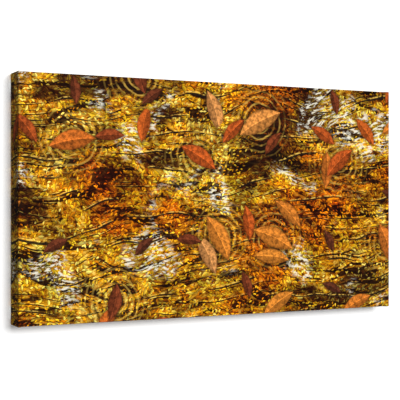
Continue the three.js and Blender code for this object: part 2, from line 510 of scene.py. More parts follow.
design = {
    "drift": (-3.0, 4.0, 0),
    "stir": {"noise": (0.06,), "reach": (8, 8, 0)},
    "ground": {
        0.30: (0.022, 0.005, 0.001),
        0.42: (0.130, 0.036, 0.001),
        0.50: (0.310, 0.108, 0.001),
        0.58: (0.560, 0.250, 0.006),
        0.70: (0.740, 0.460, 0.080),
    },
    "chop": {"stretch": (0.7, 1.5, 0), "noise": (0.95, 6, 0.72), "tone": 0.08, "drop": 0.03},
    "hues": {
        0.00: (0.120, 0.022, 0.001),
        0.20: (0.380, 0.078, 0.001),
        0.40: (0.660, 0.195, 0.001),
        0.60: (0.830, 0.365, 0.003),
        0.80: (0.910, 0.540, 0.014),
        1.00: (0.960, 0.740, 0.150),
    },
    "largeHues": {
        0.00: (0.045, 0.016, 0.009),
        0.25: (0.180, 0.036, 0.010),
        0.50: (0.420, 0.075, 0.010),
        0.75: (0.560, 0.190, 0.022),
        0.90: (0.460, 0.250, 0.110),
        1.00: (0.400, 0.330, 0.230),
    },
    "leafTone": (0.42, -0.12),
    "largeTone": 0.069,
    "line": (0.012, 0.006, 0.004),
    "shadow": (0.020, 0.008, 0.003),
    "crest": (0.88, 0.56, 0.10),
    "pale": (0.84, 0.80, 0.66),
    "warm": (1.12, 0.66, 0.50),
    "warmWhere": (0.05, 0.6, 1.0, 0),
    "green": (0.90, 1.0, 0.72),
    "dusk": (0.45, 0.20, 0.10),
    "duskWhere": (0.02, 0.29, 1, 0),
    "leaves": [
        {"cell": 1.35, "long": 0.70, "wide": 0.30, "share": 0.75, "light": 0.75, "shift": 3.1},
        {"cell": 1.0, "long": 0.52, "wide": 0.21, "share": 0.72, "light": 0.88, "shift": 11.7},
        {"cell": 0.75, "long": 0.38, "wide": 0.16, "share": 0.70, "light": 1.0, "shift": 23.9},
        {"cell": 0.55, "long": 0.28, "wide": 0.12, "share": 0.62, "light": 1.12, "shift": 37.3},
    ],
    "large": {"cell": 7.0, "long": 2.9, "wide": 1.1, "share": 0.5, "light": 1.0, "shift": 51.0},
    "afloat": {"cell": 16.0, "long": 3.6, "wide": 1.45, "share": 5.0, "light": 1.05, "shift": 64.0},
    "leaf": {
        "turn": 2.2,  # how differently the leaves of one patch lie
        "patchTurn": (5.0, -3.4),
        "patchNoise": (0.05, 1.0),
        "size": (0.5, 0.65),
        "curve": 0.25,
        "hues": 0.78,
        "halves": (-0.06, 0.06, 0.66, 1.14),  # one half is darker than the other
        "rim": (0.0, 0.3, 0.62, 1.0),
        "edge": (0.0, 0.08),
        "shadow": (-0.5, 0.05, 0, 0.5),
        "slant": -0.55,
        "veins": 17.0,
        "veinLight": (0.0, 0.3, 1.35, 0.95),
        "midrib": (0.02, 0.06, 0.6, 0),
    },
    # a ripple is a dark line with a bright crest beside it
    "ripple": {
        "line": (0.55, 1.0, 0.96, 0),
        "crestAt": 1.45,
        "crest": (0.0, 1.2, 0.85, 0),
        "crestWidth": (0.02, 0.05),  # thinner ripples have none
    },
    "swell": {"stretch": (0.6, 1.6, 0), "noise": (0.2,), "soft": (-0.05, 0.2), "width": (0.02, 1.15)},
    # all the ripples bend together, so that they never meet
    "bend": {"noise": (0.05, 2, 0.4), "wander": 9.0, "turn": math.radians(4)},
    "broad": {"spacing": 2.6, "width": 0.13, "gaps": 0.46, "shift": 5.3},
    "middling": {"spacing": 1.7, "width": 0.10, "gaps": 0.47, "shift": 17.1},
    "fine": {"spacing": 1.05, "width": 0.07, "gaps": 0.47, "shift": 29.9},
    "ring": {
        "spacing": 0.95,
        "fade": (1.5, 7.0, 0.85, 0),
        "noise": (0.45,),
        "wobble": 0.7,
        "dark": (0.2, 1.0),
        "light": (-0.3, -1.0),
        "lightShare": 0.55,
    },
    "bleed": 0.55,  # how far the print runs on over the back
    "bleedSoft": 0.01,
    "blank": (0.78, 0.765, 0.72),
    # painted shade in the hollows of the weave, by the yarns' height
    "hollowShade": {0.0: (0.86, 0.86, 0.86), 1.0: (1, 1, 1)},
    "roughness": 0.75,
    "gloss": 0.05,
    "bump": (0.4, 0.0002),
}

# Soft patches in it: a noise by its stretch, scale, detail, roughness and distortion, and the
# step that it goes through, from and to, with the value at either end
patches = {
    "tone": {"noise": (0.05, 3, 0.55), "step": (0.32, 0.68)},
    "trough": {"stretch": (0.20, 0.95, 0), "noise": (0.55, 4, 0.6, 0.6), "step": (0.555, 0.60, 0, 0.88)},
    "cluster": {"noise": (0.16,), "step": (0.3, 0.6, 0.45, 1.25)},
    "blotch": {"noise": (1.6, 5, 0.7), "step": (0.32, 0.66, 0.5, 1.4)},
    "sparkle": {"stretch": (0.7, 1.6, 0), "noise": (1.9, 3, 0.65), "step": (0.44, 0.6)},
    "broken": {"stretch": (1.0, 1.3, 0), "noise": (0.3, 3, 0.6), "step": (0.38, 0.58, 0.2, 1.0)},
    "pool": {"noise": (0.13, 3, 0.6), "step": (0.34, 0.62, 0.66, 1.12)},
    "dapple": {"stretch": (0.7, 1.3, 0), "noise": (0.42, 3, 0.6), "step": (0.34, 0.62, 0.52, 1.24)},
    "deep": {"stretch": (0.6, 1.3, 0), "noise": (0.11, 3, 0.55), "step": (0.34, 0.42, 0.74, 0)},
    "moss": {"noise": (0.09,), "step": (0.5, 0.66, 0, 0.8)},
    "glint": {"stretch": (0.55, 1.7, 0), "noise": (1.5, 4, 0.65), "step": (0.50, 0.62)},
    "open": {"noise": (0.10, 3), "step": (0.57, 0.68, 0, 0.88)},
}


def patchesOf(name, place):
    look = patches[name]
    if "stretch" in look:
        place = stretched(place, look["stretch"])
    return step(flatNoise(place, *look["noise"]), *look["step"])


def addRipples(place, below, layer):
    ripple, swell, bend = design["ripple"], design["swell"], design["bend"]
    slope = (-math.sin(bend["turn"]), math.cos(bend["turn"]), 0)
    across = vector("DOT_PRODUCT", place, slope, output="Value")
    across = timesPlus(flatNoise(place, *bend["noise"]), bend["wander"], across)
    gap = minus(calc("FRACT", calc("DIVIDE", across, layer["spacing"])), 0.5)
    shifted = vector("ADD", stretched(place, swell["stretch"]), (layer["shift"], 0, 0))
    low, high = [layer["gaps"] + soft for soft in swell["soft"]]
    width = step(flatNoise(shifted, *swell["noise"]), low, high, *swell["width"])
    width = times(width, layer["width"] / layer["spacing"])
    gap = calc("DIVIDE", gap, width)
    crest = step(absolute(minus(gap, ripple["crestAt"])), *ripple["crest"])
    crest = times(times(crest, step(width, *ripple["crestWidth"])), patchesOf("sparkle", place))
    below = blend(crest, below, design["crest"])
    return blend(step(absolute(gap), *ripple["line"]), below, design["line"])


def addRings(place, below):
    # rings about the leaves that float highest
    ring = design["ring"]
    away = length(leafCells(place, design["afloat"])[1])
    away = timesPlus(minus(flatNoise(place, *ring["noise"]), 0.5), ring["wobble"], away)
    wave = calc("SINE", times(away, 2 * math.pi / ring["spacing"]))
    fade = times(step(away, *ring["fade"]), patchesOf("broken", place))
    below = blend(times(step(wave, *ring["dark"]), fade), below, design["line"])
    fade = times(fade, ring["lightShare"])
    return blend(times(step(wave, *ring["light"]), fade), below, design["crest"])


def leafCells(place, layer):
    return cellsOf(vector("ADD", place, (layer["shift"], layer["shift"] * 1.7, 0)), layer["cell"])


def addVeins(shade, x, rib, place):
    # a large leaf shows its midrib, its side veins and some blotches
    leaf = design["leaf"]
    veins = calc("SINE", times(timesPlus(absolute(rib), leaf["slant"], x), leaf["veins"]))
    shade = times(shade, step(absolute(veins), *leaf["veinLight"]))
    shade = plus(shade, step(absolute(rib), *leaf["midrib"]))
    return times(shade, patchesOf("blotch", place))


def addLeaves(place, below, tone, layer, large=False):
    leaf = design["leaf"]
    cells, offset = leafCells(place, layer)
    middle = cells["Position"]
    chance = put("ShaderNodeSeparateColor", {0: cells["Color"]}).node.outputs
    patchTurn = timesPlus(flatNoise(middle, *leaf["patchNoise"]), *leaf["patchTurn"])
    angle = timesPlus(chance[0], leaf["turn"], patchTurn)
    local = put("ShaderNodeVectorRotate", {"Vector": offset, "Angle": angle}, rotation_type="Z_AXIS")
    local = scaled(local, calc("DIVIDE", 1.0, timesPlus(chance[1], *leaf["size"])))
    x, y = parts(stretched(local, (1 / layer["long"], 1 / layer["wide"], 0)))[:2]
    rib = timesPlus(times(x, x), leaf["curve"], y)
    blade = minus(minus(1.0, times(x, x)), absolute(rib))
    present = calc("LESS_THAN", chance[2], times(patchesOf("cluster", middle), layer["share"]))
    color = ramp(timesPlus(chance[1], leaf["hues"], tone), design["largeHues" if large else "hues"])
    shade = step(rib, *leaf["halves"])
    if large:
        shade = addVeins(shade, x, rib, place)
    shade = times(times(shade, step(blade, *leaf["rim"])), layer["light"])
    below = blend(times(step(blade, *leaf["shadow"]), present), below, design["shadow"])
    return blend(times(step(blade, *leaf["edge"]), present), below, scaled(color, shade))


def mirrored(value, size):
    # the picture runs on over its edges as in a mirror
    away = absolute(value)
    return times(calc("MINIMUM", away, minus(size, away)), calc("SIGN", value))


def paintWater(place, stirred, tone):
    # golden water, with small leaves on it and dark ripples between them
    chop = design["chop"]
    height = minus(flatNoise(stretched(stirred, chop["stretch"]), *chop["noise"]), chop["drop"])
    color = ramp(plus(times(tone, chop["tone"]), height), design["ground"])
    leafTone = timesPlus(tone, *design["leafTone"])
    first, second, third, last = design["leaves"]
    color = addLeaves(place, color, leafTone, first)
    color = addRipples(place, color, design["fine"])
    color = addLeaves(place, color, leafTone, second)
    color = addLeaves(place, color, leafTone, third)
    color = addRipples(place, color, design["middling"])
    color = blend(patchesOf("trough", stirred), color, design["line"])
    return addLeaves(place, color, leafTone, last)


def paintLight(color, place, stirred, tone):
    # pools of shade and of light, warm and green drifts, and pale glints
    color = scaled(color, times(patchesOf("pool", stirred), patchesOf("dapple", stirred)))
    color = blend(patchesOf("deep", stirred), color, design["line"])
    color = blend(step(tone, *design["warmWhere"]), color, design["warm"], "MULTIPLY")
    bright = put("ShaderNodeSeparateColor", {0: color})
    color = blend(step(bright, *design["duskWhere"]), color, design["dusk"], "MULTIPLY")
    color = blend(patchesOf("moss", place), color, design["green"], "MULTIPLY")
    return blend(times(patchesOf("glint", stirred), patchesOf("open", stirred)), color, design["pale"])


def blankEdge(color, p, q):
    # past the edge of the print the coated cloth is white
    overX = minus(absolute(p), picture["width"] / 2)
    overZ = minus(absolute(q), picture["height"] / 2)
    ends = [picture["depth"] + (design["bleed"] + soft * design["bleedSoft"]) / 100 for soft in (-1, 1)]
    return blend(step(calc("MAXIMUM", overX, overZ), *ends), color, design["blank"])


def makePrint():
    material, tree = newMaterial("print")
    flat = clothPlace(tree)
    p, q = parts(flat)[:2]
    place = xyz(mirrored(p, picture["width"]), mirrored(q, picture["height"]))
    place = vector("ADD", stretched(place, (100, 100, 0)), design["drift"])
    swirl = stray(flatNoise(place, *design["stir"]["noise"]))
    stirred = vector("ADD", place, stretched(swirl, design["stir"]["reach"]))
    tone = patchesOf("tone", stirred)
    color = paintWater(place, stirred, tone)
    color = paintLight(color, place, stirred, tone)
    color = addRipples(place, color, design["broad"])
    color = addRings(place, color)
    for layer in ("large", "afloat"):
        color = addLeaves(place, color, design["largeTone"], design[layer], large=True)
    height = makeWeave(flat)
    # past its edge the print gives way to white, and painted shade darkens the hollows of the weave
    color = shadeWeave(blankEdge(color, p, q), height, design["hollowShade"], 1.0)
    finishMaterial(design, color, design["roughness"], height, gloss=design["gloss"])
    return material


slotFinish = {"pine": "pine", "brass_plate": "brass", "bumper_rubber": "rubber"}
finish = {
    "steel": makeSteel(),
    "brass": makeBrass(),
    "rubber": makeRubber(),
    "pine": makePine(),
    "print": makePrint(),
    "raw": makeRawCloth(),
    "cotton": makeCotton(),
}
print("materials made")


def finishPiece(piece, slot, *nodes):
    if slot in slotFinish:
        piece.data.materials.clear()
        piece.data.materials.append(finish[slotFinish[slot]])
    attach(piece, "root")
    if nodes:
        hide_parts(*nodes)


# Cloth: one sheet laid out flat in (p, q), wrapped over the bars and folded at the corners

cloth = {
    "thickness": 0.00038,
    "layer": 0.0004,  # how much each further layer stands out
    "bend": 0.0013,  # radius over the edge of a bar, at the middle of the cloth
    "flange": 0.022,
    "cell": 0.009,
    "bendSteps": 4,
    "sideSteps": 22,
    "flangeSteps": 8,
    "foldSoft": 0.0034,  # how softly the cloth comes down off the hidden layers
    "foldStart": 0.004,  # how far over the edge they are all there
    "crease": 0.0006,
    "creasePress": 0.4,  # how much flatter the crease is, in layers
    "sag": 0.0004,
    "lift": 0.0006,  # how far the cut edge stands up between two staples
    "pinned": 0.012,
    "cutWander": 0.0007,
    "cutWaves": ((61, 0.0, 0.625), (143, 1.7, 0.375)),  # turn to the metre, start and share
    "yarnFree": 0.003,  # no loose yarns this near the ends
    "hair": 1e-7,  # lengths that differ by less count as the same
    "printMap": (1.34, 0.5, 0.315),
    "rawMap": (0.775, 0.293, 0.815),
}


def evenly(low, high, steps):
    return list(np.linspace(low, high, steps + 1))[1:]


def clothGrid():
    # the lines that the flat sheet is divided by, closer where it bends
    middle = cloth["thickness"] / 2
    reach = {"x": picture["width"] / 2 - middle, "z": picture["height"] / 2 - middle}
    quarter = math.pi / 2 * cloth["bend"]
    side = picture["depth"] - cloth["thickness"] - 2 * cloth["bend"]
    offsets = [0.0]
    starts = []
    sizes = {"bend": quarter, "side": side, "flange": cloth["flange"]}
    for part in ("bend", "side", "bend", "flange"):
        starts.append(len(offsets) - 1)
        offsets += evenly(offsets[-1], offsets[-1] + sizes[part], cloth[part + "Steps"])
    lines = {}
    for axis, far in reach.items():
        flat = far - cloth["bend"]
        plain = flat - side  # nearer the corner the lines keep step with those on the side
        row = evenly(0, plain, round(plain / cloth["cell"]))
        row += evenly(plain, flat, cloth["sideSteps"])
        row += [flat + offset for offset in offsets[1:]]
        lines[axis] = np.array([-value for value in reversed(row)] + [0.0] + row)
    outside = len(offsets) - 1
    return {**lines, "reach": reach, "side": side, "outside": outside, "back": starts[2]}


def wrapOver(distance, reach, side):
    # where a point lies that is so far along the cloth from its middle: how far out and back, the
    # angle that the cloth has turned through, and how far behind
    radius = cloth["bend"]
    quarter = math.pi / 2 * radius
    past = distance - (reach - radius)
    first = np.clip(past, 0, quarter) / radius
    along = np.clip(past - quarter, 0, side)
    second = np.clip(past - quarter - side, 0, quarter) / radius
    behind = np.maximum(past - 2 * quarter - side, 0)
    out = np.minimum(distance, reach - radius) + radius * (np.sin(first) - 1 + np.cos(second)) - behind
    depth = radius * (1 - np.cos(first)) + along + radius * np.sin(second)
    return out, depth, first + second, behind


def ease(value):
    value = np.clip(value, 0, 1)
    return value * value * (3 - 2 * value)


def flangeShape(along, behind, side):
    # the cut edge wanders a little and lifts between the staples
    outermost, gap = stapleRow(side)
    share = behind / cloth["flange"]
    lift = cloth["lift"] * (0.5 - 0.5 * np.cos(2 * math.pi * (along + outermost) / gap)) * share ** 2
    waves = sum(height * np.sin(along * turn + start) for turn, start, height in cloth["cutWaves"])
    return lift, cloth["cutWander"] * share * waves


def overSides(q, wrap, reach):
    # over the left and right sides, where the flange is pinned at its ends
    out, depth, turn, behind = wrap
    lift, wander = flangeShape(q, behind, shortSide)
    lift = lift * ease((reach["z"] - cloth["flange"] - np.abs(q)) / cloth["pinned"])
    normal = np.stack([np.sin(turn), -np.cos(turn), 0 * turn], -1)
    return np.stack([out - wander, depth, np.abs(q)], -1) + normal * lift[..., None]


def overEnds(p, q, wrap, reach):
    # over the top and bottom, where the cloth doubles back under itself past the corner
    out, depth, turn, behind = wrap
    layer, soft = cloth["layer"], cloth["foldSoft"]
    inFromEnd = np.abs(reach["x"] - np.abs(p))
    onSide = 2 * layer * ease((depth - inFromEnd) / soft + 1)
    onBack = [layer * ease((size - inFromEnd) / soft) for size in (picture["depth"], cloth["flange"])]
    share = np.clip(turn / (math.pi / 2) - 1, 0, 1)
    pastEdge = np.abs(q) - (reach["z"] - cloth["bend"])
    rise = (onSide * (1 - share) + sum(onBack) * share) * ease(pastEdge / cloth["foldStart"])
    under = np.abs(p) > reach["x"] + cloth["hair"]
    rise = np.where(under, np.maximum(rise - layer, 0), rise)
    pressed = np.maximum(rise - cloth["creasePress"] * layer, 0)
    rise = np.where(inFromEnd < cloth["crease"], pressed, rise)
    lift, wander = flangeShape(p, behind, longSide)
    rise = rise + np.where(under, 0, lift)
    normal = np.stack([0 * turn, -np.cos(turn), np.sin(turn)], -1)
    return np.stack([reach["x"] - inFromEnd, depth, out - wander], -1) + normal * rise[..., None]


def wrapCloth(grid):
    reach = grid["reach"]
    p, q = np.meshgrid(grid["x"], grid["z"], indexing="ij")
    wrapX = wrapOver(np.abs(p), reach["x"], grid["side"])
    wrapZ = wrapOver(np.abs(q), reach["z"], grid["side"])
    pastX = np.abs(p) - (reach["x"] - cloth["bend"])
    pastZ = np.abs(q) - (reach["z"] - cloth["bend"])
    # the innermost layer lies on the top or bottom with the side's cloth turned over the corner
    inner = np.stack([wrapX[0] - wrapZ[1], wrapX[1], wrapZ[0]], -1)
    isInner = (pastZ > 0) & (pastX > pastZ + cloth["hair"])
    place = overEnds(p, q, wrapZ, reach)
    place = np.where((pastZ <= 0)[..., None], overSides(q, wrapX, reach), place)
    place = np.where(isInner[..., None], inner, place)
    sag = cloth["sag"] * (1 - (p / reach["x"]) ** 2) * (1 - (q / reach["z"]) ** 2)
    place[..., 1] += np.where((pastX <= 0) & (pastZ <= 0), sag, 0)
    place[..., 1] += picture["front"] + cloth["thickness"] / 2
    place[..., 0] *= np.sign(p)
    place[..., 2] = place[..., 2] * np.sign(q) + picture["middle"]
    return place


def clothFaces(grid):
    # past counts the grid lines outwards from the start of the bend, on either side
    def past(index, count):
        return max(grid["outside"] - index, index - (count - 1 - grid["outside"]), 0)

    x, z = grid["x"], grid["z"]
    faces = []
    area = 0
    for i in range(len(x) - 1):
        for j in range(len(z) - 1):
            corners = [(i, j), (i + 1, j), (i + 1, j + 1), (i, j + 1)]
            steps = [(past(a, len(x)), past(b, len(z))) for a, b in corners]
            farX, farZ = np.max(steps, axis=0)
            if farX > grid["back"] and farZ > 0:
                continue  # trimmed off behind the corner
            area += (x[i + 1] - x[i]) * (z[j + 1] - z[j])
            one, two, three, four = [a * len(z) + b for a, b in corners]
            # a cell of a fold is parted the way that the fold runs
            if farX == farZ:
                rising = steps[0][0] != steps[0][1] or steps[2][0] != steps[2][1]
            else:
                rising = x[i] * z[j] > 0
            if farZ == 0 or farX not in (0, farZ):
                faces.append((one, two, three, four))
            elif rising:
                faces += [(one, two, four), (two, three, four)]
            else:
                faces += [(one, two, three), (one, three, four)]
    return faces, area


def layBakeMap(mesh):
    # the printed side fills the lower part of the square, and the raw side lies above it
    flat = readAll(mesh.uv_layers["cloth"].data, "uv", np.float32, 2).reshape(-1, 2)
    sizes = readAll(mesh.polygons, "loop_total")
    raw = np.repeat(readAll(mesh.polygons, "material_index"), sizes)[:, None] == 1
    scale, right, up = [np.where(raw, a, b) for a, b in zip(cloth["rawMap"], cloth["printMap"])]
    putLayout(mesh, "OFBake", flat * scale + np.hstack([right, up]))


def cutEdges(grid, place):
    # the edges that show behind, each with the way that loose yarns point
    long = np.abs(grid["x"]) < picture["width"] / 2 - cloth["yarnFree"]
    short = np.abs(grid["z"]) < picture["height"] / 2 - cloth["flange"] - cloth["yarnFree"]
    return [
        (place[long, -1], (0, 0.3, -1)),
        (place[long, 0], (0, 0.3, 1)),
        (place[0, short], (1, 0.3, 0)),
        (place[-1, short], (-1, 0.3, 0)),
    ]


def dropLoose(edit):
    loose = [vert for vert in edit.verts if not vert.link_faces]
    bmesh.ops.delete(edit, geom=loose, context="VERTS")


def makeCloth():
    grid = clothGrid()
    x, z = grid["x"], grid["z"]
    place = wrapCloth(grid)
    faces, area = clothFaces(grid)
    mesh = meshFrom("cloth", place.reshape(-1, 3), faces)
    flat = np.stack(np.meshgrid(x, z, indexing="ij"), -1).reshape(-1, 2)
    putLayout(mesh, "cloth", flat[readAll(mesh.loops, "vertex_index")])
    piece = addObject("printedCloth", reworked(mesh, dropLoose))
    thick = piece.modifiers.new("thickness", "SOLIDIFY")
    thick.thickness = cloth["thickness"]
    thick.offset = 0
    thick.material_offset = 1
    mesh.materials.append(finish["print"])
    mesh.materials.append(finish["raw"])
    applied(piece)
    layBakeMap(piece.data)
    smooth(piece.data, 42)
    size = (float(2 * x[-1]), float(2 * z[-1]))
    return piece, size, float(area), cutEdges(grid, place)


printedCloth, flatSize, flatArea, clothEdges = makeCloth()
print("cloth wrapped: cut", [round(side, 3) for side in flatSize], "area", round(flatArea, 3))


# Stretcher bars

bar = {
    "skin": 0.0008,  # cloth and clearance outside the wood
    "width": 0.036,
    "lip": 0.005,  # the bead that carries the cloth
    "lipRise": 0.0025,
    "lipEased": 0.001,
    "slopeDrop": 0.0025,
    "slopeEased": 0.0014,
    "eased": 0.0011,
    "mitreGap": 0.0003,
}


def rounded(corners, steps=4):
    # an outline with each corner, given as x, y and radius, rounded off
    outline = []
    for index, (x, y, radius) in enumerate(corners):
        corner = Vector((x, y))
        before = Vector(corners[index - 1][:2])
        after = Vector(corners[(index + 1) % len(corners)][:2])
        start = corner + (before - corner).normalized() * radius
        end = corner + (after - corner).normalized() * radius
        for part in range(steps + 1) if radius > 0 else [0]:
            share = part / steps
            outline.append(start.lerp(corner, share).lerp(corner.lerp(end, share), share))
    return outline


def barSection():
    depth = picture["depth"] - 2 * bar["skin"]
    shelf = depth - bar["lipRise"]
    eased = bar["eased"]
    return rounded([
        (0, 0, eased),
        (bar["width"], 0, eased),
        (bar["width"], shelf - bar["slopeDrop"], eased),
        (bar["lip"], shelf, bar["slopeEased"]),
        (bar["lip"], depth, bar["lipEased"]),
        (0, depth, eased),
    ])


def makeBar(place, side, number):
    section = barSection()
    half = side["length"] / 2 - bar["skin"] - bar["mitreGap"] / math.sqrt(2)
    points = []
    for end in (-1, 1):
        points += [Vector((end * (half - y), y + bar["skin"], z + bar["skin"])) for y, z in section]
    count = len(section)
    faces = [(i, (i + 1) % count, count + (i + 1) % count, count + i) for i in range(count)]
    faces += [tuple(range(count)), tuple(range(2 * count - 1, count - 1, -1))]
    mesh = reworked(meshFrom("bar", points, faces), facesOut)
    along, across = pine["apart"]
    putVectors(mesh, "grain", [(x + along * number, y + across * number, z) for x, y, z in points])
    mesh.transform(sideFrame(side))
    smooth(mesh)
    piece = addObject("pineBar" + place.capitalize(), mesh)
    finishPiece(piece, "pine", "bar_" + place)
    return piece


bars = [makeBar(place, side, number) for number, (place, side) in enumerate(sides.items())]
print("bars made")


# Helpers for geometry trees, whose inputs are what to build on, some sizes, a seed and a material

def newTree(name, base, sizes, look, material):
    tree = bpy.data.node_groups.new(name, "GeometryNodeTree")
    kinds = {base: "Geometry", **dict.fromkeys(sizes, "Float"), "seed": "Int", material: "Material"}
    sockets = {}
    for key, kind in kinds.items():
        kind = "NodeSocket" + kind
        socket = tree.interface.new_socket(key.capitalize(), in_out="INPUT", socket_type=kind)
        if key in look:
            socket.default_value = look[key]
        sockets[key] = socket.identifier
    tree.interface.new_socket("Geometry", in_out="OUTPUT", socket_type="NodeSocketGeometry")
    return tree, sockets, put("NodeGroupInput", {}, tree).node.outputs


def endTree(geometry, material):
    whole = put("GeometryNodeRealizeInstances", {"Geometry": geometry})
    whole = put("GeometryNodeSetMaterial", {"Geometry": whole, "Material": material})
    put("NodeGroupOutput", {0: whole})


def grow(piece, tree, sockets, values):
    modifier = piece.modifiers.new("grow", "NODES")
    modifier.node_group = tree
    for key, value in values.items():
        modifier[sockets[key]] = value
    reworked(applied(piece).data, facesOut)


def swept(path, section):
    return put("GeometryNodeCurveToMesh", {"Curve": path, "Profile Curve": section, "Fill Caps": True})


def filleted(curve, count, radius):
    inputs = {"Curve": curve, "Count": count, "Radius": radius, "Limit Radius": True}
    return put("GeometryNodeFilletCurve", inputs, mode="POLY")


def named(tree, name):
    return put("GeometryNodeInputNamedAttribute", {"Name": name}, tree, data_type="FLOAT_VECTOR")


def anyBetween(low, high, seed, kind="FLOAT"):
    # a random number for each point, or a random vector
    first = 2 if kind == "FLOAT" else 0
    inputs = {first: low, first + 1: high, "Seed": seed}
    return put("FunctionNodeRandomValue", inputs, output=first // 2, data_type=kind)


# Staples: one node tree sets a bent wire on each point that it is given

staple = {
    "crown": 0.011,
    "leg": 0.009,
    "wire": 0.0012,
    "thickness": 0.0008,
    "corner": 0.0008,
    "eased": 0.25,  # rounding of the wire, as a share of its thickness
    "skew": math.radians(2.5),  # how far one may stand askew
    "seed": 7,
    "inset": 0.014,
    "sunk": 0.0001,
    "foldRise": 0.0009,
    "jointInset": 0.0295,
}


def stapleTree():
    sizes = ["crown", "leg", "wire", "thickness", "corner", "skew"]
    tree, sockets, given = newTree("staples", "points", sizes, staple, "metal")
    # the wire's path: down one leg, along the crown and up the other leg
    number = minus(put("GeometryNodeInputIndex", {}, tree), 1.5)
    reach = times(minus(given["Crown"], given["Wire"]), 0.5)
    tip = calc("GREATER_THAN", absolute(number), 1.0)
    corner = xyz(x=times(calc("SIGN", number), reach), z=times(tip, given["Leg"]))
    path = put("GeometryNodeMeshLine", {"Count": 4}, tree)
    path = put("GeometryNodeSetPosition", {"Geometry": path, "Position": corner})
    path = filleted(put("GeometryNodeMeshToCurve", {"Mesh": path}), 4, given["Corner"])
    section = {"Width": given["Wire"], "Height": given["Thickness"]}
    section = put("GeometryNodeCurvePrimitiveQuadrilateral", section)
    wire = swept(path, filleted(section, 2, times(given["Thickness"], staple["eased"])))
    skew = xyz(z=anyBetween(times(given["Skew"], -1.0), given["Skew"], given["Seed"]))
    turns = [put("FunctionNodeEulerToRotation", {0: turn}) for turn in (named(tree, "turn"), skew)]
    facing = put("FunctionNodeRotateRotation", dict(enumerate(turns)), rotation_space="LOCAL")
    placed = {"Points": given["Points"], "Instance": wire, "Rotation": facing}
    endTree(put("GeometryNodeInstanceOnPoints", placed), given["Metal"])
    return tree, sockets


def staplePlaces(side):
    # the middle of each crown and its turn; those at the ends stand on the corner folds
    outermost, gap = stapleRow(side)
    seat = staple["sunk"] - staple["thickness"] / 2
    for index in range(side["staples"]):
        onFold = side["length"] == picture["width"] and index in (0, side["staples"] - 1)
        rise = staple["foldRise"] if onFold else 0
        yield sideFrame(side), Vector((index * gap - outermost, staple["inset"], seat - rise)), 0


def jointPlaces(side):
    # one across the mitre at either end
    seat = bar["skin"] + staple["sunk"] - staple["thickness"] / 2
    for end in (-1, 1):
        along = end * (side["length"] / 2 - staple["jointInset"])
        yield sideFrame(side), Vector((along, staple["jointInset"], seat)), end * math.pi / 4


def makeStaples(name, places, nodes):
    mesh = meshFrom("points", [matrix @ point for matrix, point, turn in places], [])
    putVectors(mesh, "turn", [(matrix.to_3x3() @ Matrix.Rotation(turn, 3, "Z")).to_euler()
                              for matrix, point, turn in places])
    piece = addObject(name, mesh)
    grow(piece, staplesTree, stapleSockets, {"metal": finish["steel"], "seed": staple["seed"]})
    smooth(piece.data, 50)
    finishPiece(piece, "staple_steel", *nodes)


staplesTree, stapleSockets = stapleTree()
for place, side in sides.items():
    nodes = [f"staple_{place}_{index + 1}" for index in range(side["staples"])]
    makeStaples("staples" + place.capitalize(), list(staplePlaces(side)), nodes)
joints = [*jointPlaces(sides["top"]), *jointPlaces(sides["bottom"])]
nodes = [f"joint_staple_{place}_{end}" for place in ("top", "bottom") for end in ("left", "right")]
makeStaples("staplesJoints", joints, nodes)
print("staples set")


# Loose yarns along the cut edges, by one node tree

yarn = {
    "spacing": 0.0032,
    "length": 0.0038,
    "thickness": 0.00015,
    "spread": 0.55,
    "seed": 11,
    "sway": ((-1, -0.2, -1), (1, 0.5, 1)),
    "sizes": (0.2, 1.0),
    # one yarn's curve, in lengths of it, and how much thinner its tip is
    "root": -0.1,
    "middle": (0.55, 0.16, -0.06),
    "tip": (1.0, -0.10, 0.10),
    "thinner": -0.6,
}


def yarnTree():
    sizes = ["spacing", "length", "thickness", "spread"]
    tree, sockets, given = newTree("yarns", "edges", sizes, yarn, "cotton")
    edge = put("GeometryNodeMeshToCurve", {"Mesh": given["Edges"]})
    edge = put("GeometryNodeResampleCurve", {"Curve": edge, "Length": given["Spacing"]}, mode="LENGTH")
    # one bent yarn that grows thinner towards its tip
    hair = put("GeometryNodeCurveQuadraticBezier", {
        "Resolution": 6,
        "Start": xyz(times(given["Length"], yarn["root"])),
        "Middle": stretched(given["Length"], yarn["middle"]),
        "End": stretched(given["Length"], yarn["tip"]),
    })
    thinner = timesPlus(put("GeometryNodeSplineParameter", {}, tree), yarn["thinner"], 1.0)
    hair = put("GeometryNodeSetCurveRadius", {"Curve": hair, "Radius": thinner})
    section = {"Resolution": 5, "Radius": given["Thickness"]}
    hair = swept(hair, put("GeometryNodeCurvePrimitiveCircle", section))
    sway = scaled(anyBetween(*yarn["sway"], given["Seed"], "FLOAT_VECTOR"), given["Spread"])
    facing = {"Vector": vector("ADD", named(tree, "away"), sway)}
    size = anyBetween(*yarn["sizes"], plus(given["Seed"], 1.0))
    placed = put("GeometryNodeInstanceOnPoints", {
        "Points": edge,
        "Instance": hair,
        "Rotation": put("FunctionNodeAlignRotationToVector", facing, axis="X"),
        "Scale": times(size, size),
    })
    endTree(placed, given["Cotton"])
    return tree, sockets


def makeYarns():
    points = []
    lines = []
    ways = []
    for edge, way in clothEdges:
        lines += [(index, index + 1) for index in range(len(points), len(points) + len(edge) - 1)]
        points += list(edge)
        ways += [way] * len(edge)
    mesh = meshFrom("edges", points, [], lines)
    putVectors(mesh, "away", ways)
    piece = addObject("looseYarns", mesh)
    grow(piece, *yarnTree(), {"cotton": finish["cotton"], "seed": yarn["seed"]})
    smooth(piece.data, 60)
    finishPiece(piece, "printed_canvas")
    return piece


looseYarns = makeYarns()
print("loose yarns:", len(looseYarns.data.polygons), "faces")


# Sawtooth hanger and its nails

